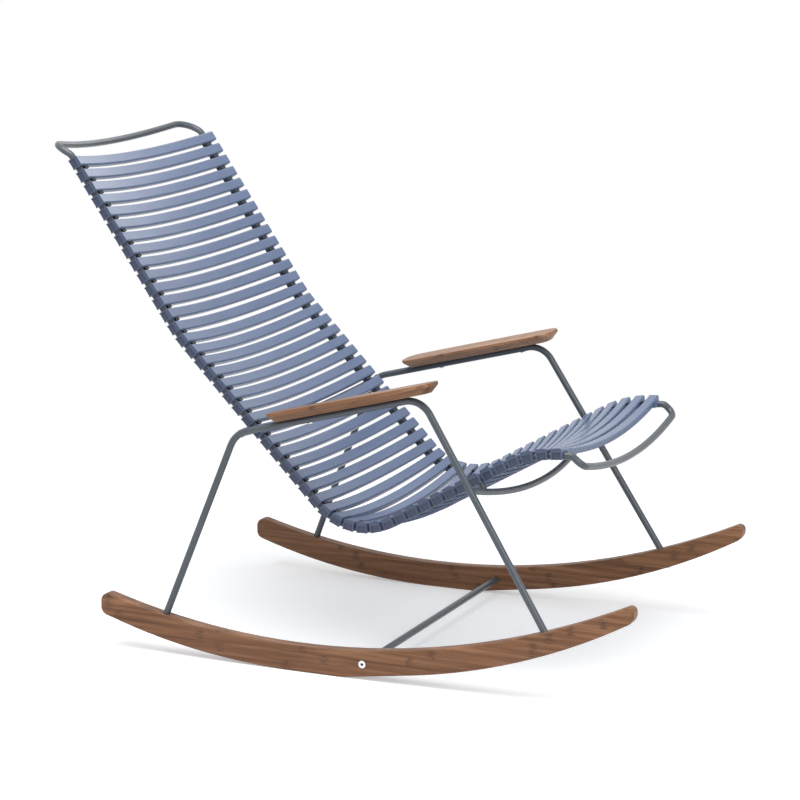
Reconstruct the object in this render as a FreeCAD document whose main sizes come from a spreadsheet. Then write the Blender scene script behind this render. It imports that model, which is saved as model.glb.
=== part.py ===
import FreeCAD, Part

import math
import os

import Sketcher

# Rocking chaise lounge: 48 plastic slats clipped on a bent steel frame, on two wooden rockers.
# Lengths are millimetres. X is across the chair, -Y is forward and +Z is up.
# A place in the side view is a pair (forward, up), measured from the point that the chair rocks on.

doc = FreeCAD.newDocument("RockingChaise")
sheet = doc.addObject("Spreadsheet::Sheet", "Sizes")


class Size:
    """A number that remembers the cell formula it came from, so that a property can be bound to it."""

    def __init__(self, number, formula=None):
        self.number = number
        self.formula = formula or repr(number)

    def _join(self, other, sign, number):
        return Size(number, "(%s %s %s)" % (self.formula, sign, other.formula))

    def __add__(self, other):
        other = as_size(other)
        return self._join(other, "+", self.number + other.number)

    def __sub__(self, other):
        other = as_size(other)
        return self._join(other, "-", self.number - other.number)

    def __mul__(self, other):
        other = as_size(other)
        return self._join(other, "*", self.number * other.number)

    def __truediv__(self, other):
        other = as_size(other)
        return self._join(other, "/", self.number / other.number)

    def __neg__(self):
        return Size(-self.number, "(0 - %s)" % self.formula)

    def root(self):
        return Size(math.sqrt(self.number), "sqrt(%s)" % self.formula)

    def at_most(self, other):
        """The smaller of two sizes."""
        return Size(min(self.number, other.number), "min(%s; %s)" % (self.formula, other.formula))


def as_size(value):
    return value if isinstance(value, Size) else Size(float(value))


row_number = 0


def cell(alias, number, note):
    """Put one driving dimension in the sheet and return it as a Size."""
    global row_number
    row_number += 1
    sheet.set("A%d" % row_number, alias)
    sheet.set("B%d" % row_number, str(number))
    sheet.setAlias("B%d" % row_number, alias)
    sheet.set("C%d" % row_number, note)
    return Size(float(number), "Sizes." + alias)


# Steel tube
tube_diameter = cell("tube_diameter", 11.5, "outside of every bent tube")
tube_wall = cell("tube_wall", 1.5, "wall of every tube")
seat_gap = cell("seat_gap", 0.2, "room between a tube and what is seated on it")

# Slats
slat_pitch = cell("slat_pitch", 24.72, "step from slat to slat along the rail")
slat_length = cell("slat_length", 480, "end to end across the chair")
slat_width = cell("slat_width", 18, "along the rail")
slat_sag = cell("slat_sag", 24.3, "how far the middle lies below the ends")
slat_depth = cell("slat_depth", 9, "height of the channel between the end boxes")
slat_skin = cell("slat_skin", 2, "top wall and side flanges")
box_depth = cell("box_depth", 18.5, "height of the end box")
box_length = cell("box_length", 24, "length of the end box and its inner rib")
rib_thickness = cell("rib_thickness", 3.5, "inner rib of the end box, which carries the spacer")
end_recess = cell("end_recess", 1.5, "how far the end wall stands back inside its rim")
slat_round = cell("slat_round", 2.5, "rounding of the slat's top edges")
rail_inset = cell("rail_inset", 12, "from the slat's end to the rail's axis")
rail_depth = cell("rail_depth", 14, "from the slat's top at its end to the rail's axis")
clip_gap = cell("clip_gap", 0.5, "room between the clip's notch and the rail")
clip_mouth = cell("clip_mouth", 9.5, "mouth of the notch, which the tube snaps through")
spacer_reach = cell("spacer_reach", 4.2, "how far the spacer stands out of the slat towards the next one")
spacer_height = cell("spacer_height", 8, "height of the spacer")
spacer_rise = cell("spacer_rise", 6, "top of the spacer above the rail's axis")
first_slat = cell("first_slat", 13.2, "from the end of the neck bend to the middle of the first slat")
last_slat = cell("last_slat", 9.2, "least run from the middle of the last slat to the bend below it")

# Rail in the side view, from the top bow to the front bow
top_bow_forward = cell("top_bow_forward", -483, "corner of the top bow")
top_bow_up = cell("top_bow_up", 834.5, "corner of the top bow")
top_neck_forward = cell("top_neck_forward", -449, "bend above the first slat")
top_neck_up = cell("top_neck_up", 817.8, "bend above the first slat")
shoulder_forward = cell("shoulder_forward", -250.2, "slight bend in the back")
shoulder_up = cell("shoulder_up", 526.4, "slight bend in the back")
hip_forward = cell("hip_forward", 62.5, "bend from back to seat")
hip_up = cell("hip_up", 203.2, "bend from back to seat")
knee_forward = cell("knee_forward", 369.1, "bend from seat to nose")
knee_up = cell("knee_up", 378.3, "bend from seat to nose")
front_neck_forward = cell("front_neck_forward", 442, "bend below the last slat")
front_neck_up = cell("front_neck_up", 384.7, "bend below the last slat")
front_bow_forward = cell("front_bow_forward", 460, "corner of the front bow")
front_bow_up = cell("front_bow_up", 369.6, "corner of the front bow")
top_bow_radius = cell("top_bow_radius", 34, "corner bend")
front_bow_radius = cell("front_bow_radius", 17, "corner bend")
top_neck_radius = cell("top_neck_radius", 16, "bend")
front_neck_radius = cell("front_neck_radius", 12, "bend")
shoulder_radius = cell("shoulder_radius", 250, "bend")
hip_radius = cell("hip_radius", 112, "bend")
knee_radius = cell("knee_radius", 185, "bend")
top_bow_sag = cell("top_bow_sag", 25.4, "middle of the top bow behind its corners")
front_bow_sag = cell("front_bow_sag", 24.5, "middle of the front bow below its corners")

# Leg frames
frame_half_width = cell("frame_half_width", 289, "from the chair's middle plane to the feet's axes")
frame_lean = cell("frame_lean", 2.8, "degrees that the leg frames lean inwards")
lean_height = cell("lean_height", 60, "height at which the frames stand at their half width")
rear_foot_forward = cell("rear_foot_forward", -249, "rear foot")
front_foot_forward = cell("front_foot_forward", 421, "front foot")
rear_corner_forward = cell("rear_corner_forward", -124.3, "rear corner of the arm tube")
rear_corner_up = cell("rear_corner_up", 381.8, "rear corner of the arm tube")
front_corner_forward = cell("front_corner_forward", 203.3, "front corner of the arm tube")
front_corner_up = cell("front_corner_up", 464.6, "front corner of the arm tube")
rear_corner_radius = cell("rear_corner_radius", 45, "bend")
front_corner_radius = cell("front_corner_radius", 40, "bend")
foot_plug = cell("foot_plug", 30, "solid threaded end of a foot")

# Cross bows
bow_diameter = cell("bow_diameter", 11, "outside of both cross bows")
stub_diameter = cell("stub_diameter", 10, "studs between the seat bow and the rails")
seat_bow_forward = cell("seat_bow_forward", 290, "where the seat bow meets the front legs")
seat_bow_sag = cell("seat_bow_sag", 41, "middle of the seat bow below its ends")
back_bow_forward = cell("back_bow_forward", -116, "where the back bow meets the arm tubes")
back_bow_sag = cell("back_bow_sag", 25, "middle of the back bow behind its ends")
back_bow_gap = cell("back_bow_gap", 0.8, "between the rails and the back bow behind them")

# Rockers
rocker_thickness = cell("rocker_thickness", 22, "across the chair")
rocker_height = cell("rocker_height", 44, "at the resting point")
rocker_top_radius = cell("rocker_top_radius", 1305, "upper edge")
rear_arc_radius = cell("rear_arc_radius", 1140, "lower edge behind the flat")
front_arc_radius = cell("front_arc_radius", 1050, "lower edge in front of the flat")
flat_rear = cell("flat_rear", 10, "reach of the flat behind the resting point")
flat_front = cell("flat_front", 76, "reach of the flat in front of the resting point")
front_rise = cell("front_rise", 8, "degrees that the lower edge rises in front of the flat")
flat_blend = cell("flat_blend", 150, "rounding where the flat turns into the rise")
front_run = cell("front_run", 115, "straight stretch in front of the flat")
rocker_rear = cell("rocker_rear", 369, "reach of the rear tip")
rocker_front = cell("rocker_front", 572, "reach of the front tip")
rear_tip_round = cell("rear_tip_round", 14, "corners of the rear tip")
front_tip_low_round = cell("front_tip_low_round", 19, "lower corner of the front tip")
front_tip_top_round = cell("front_tip_top_round", 9, "upper corner of the front tip")
rocker_round = cell("rocker_round", 3, "long edges of the rockers")

# Stretcher and bolts
stretcher_forward = cell("stretcher_forward", 114, "axis of the stretcher")
stretcher_up = cell("stretcher_up", 26.5, "axis of the stretcher")
bolt_diameter = cell("bolt_diameter", 6, "shank")
bolt_length = cell("bolt_length", 60, "below the head")
bolt_head = cell("bolt_head", 12.5, "head diameter")
bolt_head_height = cell("bolt_head_height", 3, "head")
bolt_proud = cell("bolt_proud", 1, "how far the head stands out of the wood")
bolt_gap = cell("bolt_gap", 0.25, "room around shank and head, on the radius")
socket_width = cell("socket_width", 4, "across the flats of the head's socket")
socket_depth = cell("socket_depth", 2, "head's socket")
bolt_tip_gap = cell("bolt_tip_gap", 2, "room beyond a bolt's tip")
stretcher_plug_spare = cell("stretcher_plug_spare", 10, "solid stretcher end beyond the length of its bolt")

# Armrests
arm_length = cell("arm_length", 299, "along the arm tube")
arm_width = cell("arm_width", 66, "across")
arm_end_width = cell("arm_end_width", 20, "across the blunt ends")
arm_bulge = cell("arm_bulge", 2, "how far each side bows out")
arm_corner_run = cell("arm_corner_run", 24, "length of the rounded corners along the armrest")
arm_corner_radius = cell("arm_corner_radius", 27, "rounded corners")
arm_thickness = cell("arm_thickness", 16, "top to underside")
arm_edge = cell("arm_edge", 5, "upright part of the edge")
arm_bevel = cell("arm_bevel", 12, "how far the underside is cut back")
arm_round = cell("arm_round", 1.6, "top edge")
arm_middle = cell("arm_middle", 86.5, "forward place of the armrest's middle")
arm_screw_spacing = cell("arm_screw_spacing", 160, "between the two screws of an armrest")
screw_diameter = cell("screw_diameter", 4, "shank")
screw_head = cell("screw_head", 8, "head diameter")
screw_head_height = cell("screw_head_height", 1.4, "head")
screw_bite = cell("screw_bite", 11, "length in the wood")
screw_socket = cell("screw_socket", 3, "across the flats of the head's socket")
screw_socket_depth = cell("screw_socket_depth", 0.8, "head's socket")
screw_tip_gap = cell("screw_tip_gap", 0.6, "room beyond a screw's tip")
screw_gap = cell("screw_gap", 0.15, "room around the shank in the tube, on the radius")

doc.recompute()

tube_radius = tube_diameter.number / 2
bore_radius = tube_radius - tube_wall.number
bow_radius = bow_diameter.number / 2
bow_bore = bow_radius - tube_wall.number
rail_x = slat_length / 2 - rail_inset
bolt_seat_depth = bolt_head_height - bolt_proud
bolt_hole = bolt_diameter / 2 + bolt_gap
screw_hole = screw_diameter / 2 + screw_gap
lean_slope = math.tan(math.radians(frame_lean.number))
Vector = FreeCAD.Vector
ACROSS = Vector(1, 0, 0)

# A cutter starts this far outside what it cuts
CLEAR = 1.0
# Edges and corners this close to a sought place count as there
NEAR = 0.1
# Two ends this close are one
SAME = 0.001


def side_place(x, forward, up):
    return Vector(x, -forward, up)


def bind(feature, name, size):
    """Give a property its number and the formula that keeps it up to date."""
    setattr(feature, name, size.number)
    feature.setExpression(name, size.formula)


def origin_plane(body, role):
    for feature in body.Origin.OriginFeatures:
        if feature.Role == role:
            return feature


def new_body(name):
    body = doc.addObject("PartDesign::Body", name)
    body.Label = name
    return body


def new_sketch(body, role, name):
    sketch = body.newObject("Sketcher::SketchObject", name)
    sketch.AttachmentSupport = [(origin_plane(body, role), "")]
    sketch.MapMode = "FlatFace"
    return sketch


def fix_point(sketch, edge, end, place):
    """Tie one end of a sketched edge to a place given as two sizes."""
    for kind, size in zip(("DistanceX", "DistanceY"), place):
        index = sketch.addConstraint(Sketcher.Constraint(kind, -1, 1, edge, end, size.number))
        sketch.setExpression("Constraints[%d]" % index, size.formula)


def draw_outline(sketch, corners, arcs=None):
    """Draw a closed outline; arcs maps an edge to its radius and 1, or -1 if it turns clockwise."""
    arcs = arcs or {}
    corners = [(as_size(across), as_size(up)) for across, up in corners]
    ends = []
    for index, corner in enumerate(corners):
        following = corners[(index + 1) % len(corners)]
        start = Vector(corner[0].number, corner[1].number, 0)
        stop = Vector(following[0].number, following[1].number, 0)
        if index not in arcs:
            sketch.addGeometry(Part.LineSegment(start, stop), False)
            ends.append((1, 2))
            continue
        radius = abs(arcs[index][0].number)
        turn = arcs[index][1]
        chord = stop - start
        rise = radius - math.sqrt(radius ** 2 - (chord.Length / 2) ** 2)
        outward = Vector(chord.y, -chord.x, 0).normalize() * turn
        middle = (start + stop) / 2 + outward * rise
        if turn > 0:
            sketch.addGeometry(Part.Arc(start, middle, stop), False)
            ends.append((1, 2))
        else:
            sketch.addGeometry(Part.Arc(stop, middle, start), False)
            ends.append((2, 1))
        fixed = sketch.addConstraint(Sketcher.Constraint("Radius", index, radius))
        sketch.setExpression("Constraints[%d]" % fixed, arcs[index][0].formula)
    for index, corner in enumerate(corners):
        before = (index - 1) % len(corners)
        fix_point(sketch, index, ends[index][0], corner)
        joint = Sketcher.Constraint("Coincident", before, ends[before][1], index, ends[index][0])
        sketch.addConstraint(joint)


def pad(body, sketch, length, name):
    """Pad a sketch to both sides of its plane."""
    feature = body.newObject("PartDesign::Pad", name)
    feature.Profile = sketch
    feature.Midplane = True
    bind(feature, "Length", length)
    return feature


def pocket(body, sketch, length, name):
    """Cut a sketch out to both sides of its plane."""
    feature = body.newObject("PartDesign::Pocket", name)
    feature.Profile = sketch
    feature.Midplane = True
    bind(feature, "Length", length)
    return feature


def round_edges(body, base, names, radius, name):
    feature = body.newObject("PartDesign::Fillet", name)
    feature.Base = (base, names)
    bind(feature, "Radius", radius)
    return feature


def edge_names(shape, wanted):
    """Names of the edges whose middle and two ends pass a test."""
    names = []
    for index, edge in enumerate(shape.Edges):
        middle = edge.valueAt((edge.FirstParameter + edge.LastParameter) / 2)
        if wanted(edge, middle):
            names.append("Edge%d" % (index + 1))
    return names


# Slats

def slat_body():
    """One slat: X along it, Y back up the rail, Z towards the sitter, its origin between the rail axes."""
    body = new_body("slat_pattern")
    half = slat_length / 2
    top_radius = (half * half + slat_sag * slat_sag) / (slat_sag * 2)
    centre_up = rail_depth - slat_sag + top_radius
    box_inner = half - box_length
    box_low = rail_depth - box_depth
    low_radius = top_radius + slat_depth
    low_up = centre_up - (low_radius * low_radius - box_inner * box_inner).root()
    profile = new_sketch(body, "XZ_Plane", "SlatProfile")
    corners = [(-half, rail_depth), (-half, box_low), (-box_inner, box_low), (-box_inner, low_up),
               (box_inner, low_up), (box_inner, box_low), (half, box_low), (half, rail_depth)]
    draw_outline(profile, corners, {3: (low_radius, 1), 7: (top_radius, -1)})
    bar = pad(body, profile, slat_width, "SlatBar")
    doc.recompute()

    def is_top_rim(edge, middle):
        lowest_top = rail_depth.number - slat_sag.number
        return edge.Length > half.number and abs(middle.z - lowest_top) < NEAR and abs(middle.y) > NEAR

    rounded = round_edges(body, bar, edge_names(bar.Shape, is_top_rim), slat_round, "SlatRim")

    rib_outer = box_inner + rib_thickness
    skin_radius = top_radius + slat_skin
    skin_up = centre_up - (skin_radius * skin_radius - box_inner * box_inner).root()
    below = rail_depth - slat_sag - slat_depth - CLEAR
    across_all = slat_width + CLEAR * 2
    channel = new_sketch(body, "XZ_Plane", "Channel")
    channel_corners = [(-box_inner, below), (box_inner, below), (box_inner, skin_up), (-box_inner, skin_up)]
    draw_outline(channel, channel_corners, {2: (skin_radius, -1)})
    pocket(body, channel, slat_width - slat_skin * 2, "ChannelCut")

    face = half - end_recess
    wall_inner = face - slat_skin
    notch_radius = tube_diameter / 2 + clip_gap
    mouth_outer = rail_x + clip_mouth / 2
    mouth_inner = rail_x - clip_mouth / 2
    spacer_low = spacer_rise - spacer_height
    for sign, name in ((1, "Right"), (-1, "Left")):
        cavity = new_sketch(body, "XZ_Plane", name + "Cavity")
        draw_outline(cavity, [(rib_outer * sign, below), (wall_inner * sign, below),
                              (wall_inner * sign, skin_up), (rib_outer * sign, skin_up)])
        pocket(body, cavity, slat_width - slat_skin * 2, name + "CavityCut")
        recess = new_sketch(body, "XZ_Plane", name + "Recess")
        draw_outline(recess, [(face * sign, below), ((half + CLEAR) * sign, below),
                              ((half + CLEAR) * sign, skin_up), (face * sign, skin_up)])
        pocket(body, recess, slat_width - slat_skin * 2, name + "RecessCut")
        mouth = new_sketch(body, "XZ_Plane", name + "Mouth")
        draw_outline(mouth, [(mouth_inner * sign, below), (mouth_outer * sign, below),
                             (mouth_outer * sign, 0), (mouth_inner * sign, 0)])
        pocket(body, mouth, across_all, name + "MouthCut")
        notch = new_sketch(body, "XZ_Plane", name + "Notch")
        circle = notch.addGeometry(Part.Circle(Vector(rail_x.number * sign, 0, 0), Vector(0, 0, 1),
                                               notch_radius.number), False)
        fixed = notch.addConstraint(Sketcher.Constraint("Radius", circle, notch_radius.number))
        notch.setExpression("Constraints[%d]" % fixed, notch_radius.formula)
        fix_point(notch, circle, 3, (rail_x * sign, Size(0.0)))
        pocket(body, notch, across_all, name + "NotchCut")
        spacer = new_sketch(body, "XZ_Plane", name + "Spacer")
        draw_outline(spacer, [(box_inner * sign, spacer_low), (rib_outer * sign, spacer_low),
                              (rib_outer * sign, spacer_rise), (box_inner * sign, spacer_rise)])
        tongue = body.newObject("PartDesign::Pad", name + "SpacerPad")
        tongue.Profile = spacer
        bind(tongue, "Length", slat_width / 2 + spacer_reach)
    doc.recompute()
    return body


# Paths: straight runs joined by tangent arcs

def rounded_path(corners, radii):
    """Edges of a path through the corners, each inner corner replaced by a tangent arc."""
    edges = []
    start = corners[0]
    for before, corner, after, radius in zip(corners, corners[1:], corners[2:], radii):
        towards = (before - corner).normalize()
        onwards = (after - corner).normalize()
        half_turn = (math.pi - towards.getAngle(onwards)) / 2
        reach = radius * math.tan(half_turn)
        enter = corner + towards * reach
        leave = corner + onwards * reach
        inward = (towards + onwards).normalize()
        middle = corner + inward * (radius / math.cos(half_turn) - radius)
        if (enter - start).Length > SAME:
            edges.append(Part.LineSegment(start, enter).toShape())
        edges.append(Part.Arc(enter, middle, leave).toShape())
        start = leave
    if (corners[-1] - start).Length > SAME:
        edges.append(Part.LineSegment(start, corners[-1]).toShape())
    return edges


def rod(edges, radius):
    """A round solid along a path."""
    first = edges[0]
    profile = Part.Wire(Part.makeCircle(radius, first.valueAt(first.FirstParameter),
                                        first.tangentAt(first.FirstParameter)))
    return Part.Wire(edges).makePipeShell([profile], True, False)


def bow_corner(corner, incoming, sag_towards, sag, radius):
    """Arcs of one corner of the seat frame and half of its cross tube, from the rail to the middle."""
    turn = 2 * math.atan(sag / abs(corner.x))
    outgoing = ACROSS * math.cos(turn) + sag_towards * math.sin(turn)
    half_turn = incoming.getAngle(outgoing) / 2
    reach = radius * math.tan(half_turn)
    enter = corner - incoming * reach
    leave = corner + outgoing * reach
    inward = (outgoing - incoming).normalize()
    middle = corner + inward * (radius / math.cos(half_turn) - radius)
    bend = Part.Arc(enter, middle, leave).toShape()
    arc_radius = abs(leave.x) / math.sin(turn)
    centre = Vector(0, leave.y, leave.z) - sag_towards * arc_radius * math.cos(turn)
    half_out = sag_towards * math.cos(turn / 2) - ACROSS * math.sin(turn / 2)
    cross = Part.Arc(leave, centre + half_out * arc_radius, centre + sag_towards * arc_radius).toShape()
    return enter, bend, cross


# Seat frame

rail_corners = [
    (top_bow_forward, top_bow_up),
    (top_neck_forward, top_neck_up),
    (shoulder_forward, shoulder_up),
    (hip_forward, hip_up),
    (knee_forward, knee_up),
    (front_neck_forward, front_neck_up),
    (front_bow_forward, front_bow_up),
]
rail_radii = [top_neck_radius, shoulder_radius, hip_radius, knee_radius, front_neck_radius]


def rail_place(index):
    forward, up = rail_corners[index]
    return side_place(-rail_x.number, forward.number, up.number)


def rail_direction(index):
    """Direction of the straight run from one rail corner to the next."""
    return (rail_place(index + 1) - rail_place(index)).normalize()


def sitter_side(direction):
    """The direction square to the rail that faces the sitter."""
    return Vector(0, direction.z, -direction.y)


UPPER_BACK, LOWER_BACK, SEAT, NOSE = 1, 2, 3, 4


def half_shell_path():
    """The left half of the seat frame, from the middle of the top bow to the middle of the front bow."""
    top_sag = -sitter_side(rail_direction(UPPER_BACK))
    front_sag = -sitter_side(rail_direction(NOSE))
    top_enter, top_bend, top_cross = bow_corner(
        rail_place(0), -rail_direction(0), top_sag, top_bow_sag.number, top_bow_radius.number)
    front_enter, front_bend, front_cross = bow_corner(
        rail_place(6), rail_direction(5), front_sag, front_bow_sag.number, front_bow_radius.number)
    corners = [top_enter] + [rail_place(index) for index in range(1, 6)] + [front_enter]
    rail = rounded_path(corners, [radius.number for radius in rail_radii])
    return [top_cross, top_bend], rail, [front_bend, front_cross]


def forward_edges(edges):
    """The same path with its pieces in order and pointing onwards."""
    return Part.Wire(Part.__sortEdges__(edges)).OrderedEdges


def shell_frame():
    top, rail, front = half_shell_path()
    path = forward_edges(top + rail + front)
    half_outer = rod(path, tube_radius)
    half_inner = rod(path, bore_radius)
    half = half_outer.cut(half_inner)
    return half.fuse(half.mirror(Vector(0, 0, 0), ACROSS)).removeSplitter()


def rail_stations():
    """Place and direction of the rail's axis at each slat, as many as the rail has room for."""
    rail = half_shell_path()[1]
    stations = []
    first = rail[0].Length + rail[1].Length + first_slat.number
    last = sum(edge.Length for edge in rail[:-2]) - last_slat.number
    for index in range(math.floor((last - first) / slat_pitch.number) + 1):
        left = first + index * slat_pitch.number
        for edge in rail:
            if left <= edge.Length:
                break
            left -= edge.Length
        parameter = edge.getParameterByLength(left)
        stations.append((edge.valueAt(parameter), edge.tangentAt(parameter)))
    return stations


def slat_placements():
    placements = []
    for place, direction in rail_stations():
        normal = sitter_side(direction)
        turn = FreeCAD.Rotation(ACROSS, -direction, normal, "XYZ")
        placements.append(FreeCAD.Placement(Vector(0, place.y, place.z), turn))
    return placements


# Rockers

REAR_TIP_SHARE = 0.36
FRONT_TOP_SHARE = 0.33
FRONT_LOW_SHARE = 0.69


def rocker_top_at(forward):
    """Height of a rocker's upper edge, as a size."""
    centre_up = rocker_height + rocker_top_radius
    return centre_up - (rocker_top_radius * rocker_top_radius - forward * forward).root()


def rocker_outline():
    """Corners and arcs of a rocker in the side view, (forward, up)."""
    rise = math.radians(front_rise.number)
    rise_cos = Size(math.cos(rise), "cos(%s * 1deg)" % front_rise.formula)
    rise_sin = Size(math.sin(rise), "sin(%s * 1deg)" % front_rise.formula)
    run_end = (flat_front + front_run * rise_cos, front_run * rise_sin)
    front_centre = (run_end[0] - front_arc_radius * rise_sin, run_end[1] + front_arc_radius * rise_cos)
    rear_reach = rocker_rear - flat_rear
    rear_up = rear_arc_radius - (rear_arc_radius * rear_arc_radius - rear_reach * rear_reach).root()
    tip_reach = rocker_front - front_centre[0]
    front_up = front_centre[1] - (front_arc_radius * front_arc_radius - tip_reach * tip_reach).root()
    corners = [
        (-rocker_rear, rocker_top_at(rocker_rear)),
        (-rocker_rear, rear_up),
        (-flat_rear, Size(0.0)),
        (flat_front, Size(0.0)),
        run_end,
        (rocker_front, front_up),
        (rocker_front, rocker_top_at(rocker_front)),
    ]
    return corners


def foot_place(side, forward):
    """Where a leg's axis meets the upper edge of its rocker."""
    return frame_place(side, forward.number, rocker_top_at(forward).number)


def frame_place(side, forward, up):
    """A place in the leaning plane of a leg frame; side is -1 on the left and 1 on the right."""
    across = frame_half_width.number - lean_slope * (up - lean_height.number)
    return side_place(side * across, forward, up)


def leg_corners(side):
    """Rear foot, rear corner, front corner and front foot of a leg frame."""
    return [foot_place(side, rear_foot_forward),
            frame_place(side, rear_corner_forward.number, rear_corner_up.number),
            frame_place(side, front_corner_forward.number, front_corner_up.number),
            foot_place(side, front_foot_forward)]


def bore(body, name, radius, length, place, direction):
    """Drill a round hole in a body from a place in a direction."""
    hole = body.newObject("PartDesign::SubtractiveCylinder", name)
    bind(hole, "Radius", radius)
    bind(hole, "Height", length)
    hole.Placement = FreeCAD.Placement(place, FreeCAD.Rotation(Vector(0, 0, 1), direction))
    return hole


def rocker_bolt_seats(side, blank):
    """Where the heads of a rocker's bolts sit, and the way each bolt points."""
    rear_foot, rear_corner, front_corner, front_foot = leg_corners(side)
    seats = []
    for foot, corner in ((rear_foot, rear_corner), (front_foot, front_corner)):
        upwards = (corner - foot).normalize()
        axis = Part.LineSegment(foot - upwards * rocker_top_radius.number, foot).toShape()
        inside = axis.common(blank)
        exit_place = min((vertex.Point for vertex in inside.Vertexes), key=lambda point: point.z)
        seats.append((exit_place + upwards * bolt_seat_depth.number, upwards))
    face = side * (frame_half_width.number + rocker_thickness.number / 2)
    inwards = ACROSS * -side
    outer = side_place(face, stretcher_forward.number, stretcher_up.number)
    seats.append((outer + inwards * bolt_seat_depth.number, inwards))
    return seats


def rocker(side, name):
    """A rocker of laminated bamboo with its three bolt holes; returns it with its undrilled blank."""
    body = new_body(name)
    profile = new_sketch(body, "YZ_Plane", name + "_profile")
    outline = rocker_outline()
    corners = [(-forward, up) for forward, up in outline]
    rear_tip = outline[0][1] - outline[1][1]
    front_tip = outline[6][1] - outline[5][1]
    draw_outline(profile, corners, {1: (rear_arc_radius, -1), 4: (front_arc_radius, -1),
                                    6: (rocker_top_radius, 1)})
    plank = pad(body, profile, rocker_thickness, name + "_plank")
    doc.recompute()

    def tip_edges(shape, reach, upper):
        """The edge across a tip, at its upper or lower corner."""
        heights = [edge.CenterOfMass.z for edge in shape.Edges
                   if abs(edge.CenterOfMass.y + reach) < NEAR and abs(edge.CenterOfMass.x) < NEAR]
        wanted = max(heights) if upper else min(heights)
        return edge_names(shape, lambda edge, middle: abs(middle.y + reach) < NEAR
                          and abs(middle.z - wanted) < NEAR and abs(middle.x) < NEAR)

    kink = edge_names(plank.Shape, lambda edge, middle: abs(middle.y + flat_front.number) < NEAR
                      and abs(middle.z) < NEAR)
    last = round_edges(body, plank, kink, flat_blend, name + "_blend")
    doc.recompute()
    # each corner's rounding is limited to what the tip's height leaves for it
    rear_round = rear_tip_round.at_most(rear_tip * REAR_TIP_SHARE)
    top_round = front_tip_top_round.at_most(front_tip * FRONT_TOP_SHARE)
    low_round = front_tip_low_round.at_most(front_tip * FRONT_LOW_SHARE)
    for reach, upper, radius, word in ((-rocker_rear.number, True, rear_round, "rear_top"),
                                       (-rocker_rear.number, False, rear_round, "rear_low"),
                                       (rocker_front.number, True, top_round, "front_top"),
                                       (rocker_front.number, False, low_round, "front_low")):
        last = round_edges(body, last, tip_edges(last.Shape, reach, upper), radius, name + "_" + word)
        doc.recompute()
    half = rocker_thickness.number / 2
    rims = edge_names(last.Shape, lambda edge, middle: abs(abs(middle.x) - half) < NEAR)
    last = round_edges(body, last, rims, rocker_round, name + "_rims")
    doc.recompute()
    home = side_place(side * frame_half_width.number, 0, 0)
    blank = last.Shape.copy()
    blank.translate(home)
    through = bolt_length + rocker_height
    approach = bolt_head
    for index, (seat, way) in enumerate(rocker_bolt_seats(side, blank)):
        local = seat - home
        bore(body, "%s_hole_%d" % (name, index), bolt_hole, through, local, way)
        bore(body, "%s_head_%d" % (name, index), bolt_head / 2 + bolt_gap, approach,
             local - way * approach.number, way)
    doc.recompute()
    body.Placement.Base = home
    return body, blank


def add_solid(name, shape):
    solid = doc.addObject("Part::Feature", name)
    solid.Label = name
    solid.Shape = shape
    return solid


def hole_pin(place, direction, length, radius):
    return Part.makeCylinder(radius, length, place, direction)


# Leg frames

def leg_path(side, end_inset):
    """Path of a leg frame, its ends drawn back from the feet, or run on into the rockers if negative."""
    corners = leg_corners(side)
    rear_way = (corners[1] - corners[0]).normalize()
    front_way = (corners[2] - corners[3]).normalize()
    corners[0] = corners[0] + rear_way * end_inset
    corners[3] = corners[3] + front_way * end_inset
    return rounded_path(corners, [rear_corner_radius.number, front_corner_radius.number])


def leg_outside(side):
    return rod(leg_path(side, -tube_diameter.number), tube_radius)


def leg_frame(side, blank):
    """An upturned U of tube with solid threaded feet, drilled for the bolts and the armrest's screws."""
    shape = leg_outside(side).cut(rod(leg_path(side, foot_plug.number), bore_radius))
    cutters = [blank]
    for seat, way in rocker_bolt_seats(side, blank)[:2]:
        cutters.append(hole_pin(seat, way, (bolt_length + bolt_tip_gap).number, bolt_hole.number))
    for seat, way in arm_screw_seats(side):
        cutters.append(hole_pin(seat - way * CLEAR, way, tube_diameter.number + CLEAR * 2,
                                screw_hole.number))
    return shape.cut(Part.makeCompound(cutters))


def arm_axes(side):
    """Middle of the arm tube under the armrest, the way forward along it, and the way up from it."""
    rear = frame_place(side, rear_corner_forward.number, rear_corner_up.number)
    front = frame_place(side, front_corner_forward.number, front_corner_up.number)
    share = (arm_middle.number - rear_corner_forward.number) / (
        front_corner_forward.number - rear_corner_forward.number)
    onwards = (front - rear).normalize()
    leaning = Vector(-side * lean_slope, 0, 1)
    upwards = (leaning - onwards * leaning.dot(onwards)).normalize()
    return rear + (front - rear) * share, onwards, upwards


def arm_screw_seats(side):
    """Where the heads of an armrest's screws sit under the arm tube, and the way they point."""
    middle, onwards, upwards = arm_axes(side)
    below = middle - upwards * tube_radius
    half = arm_screw_spacing.number / 2
    return [(below + onwards * half, upwards), (below - onwards * half, upwards)]


# Armrests

# The blunt ends are drawn in this share of what the sides are
END_TAPER = 1 / 3


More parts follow.
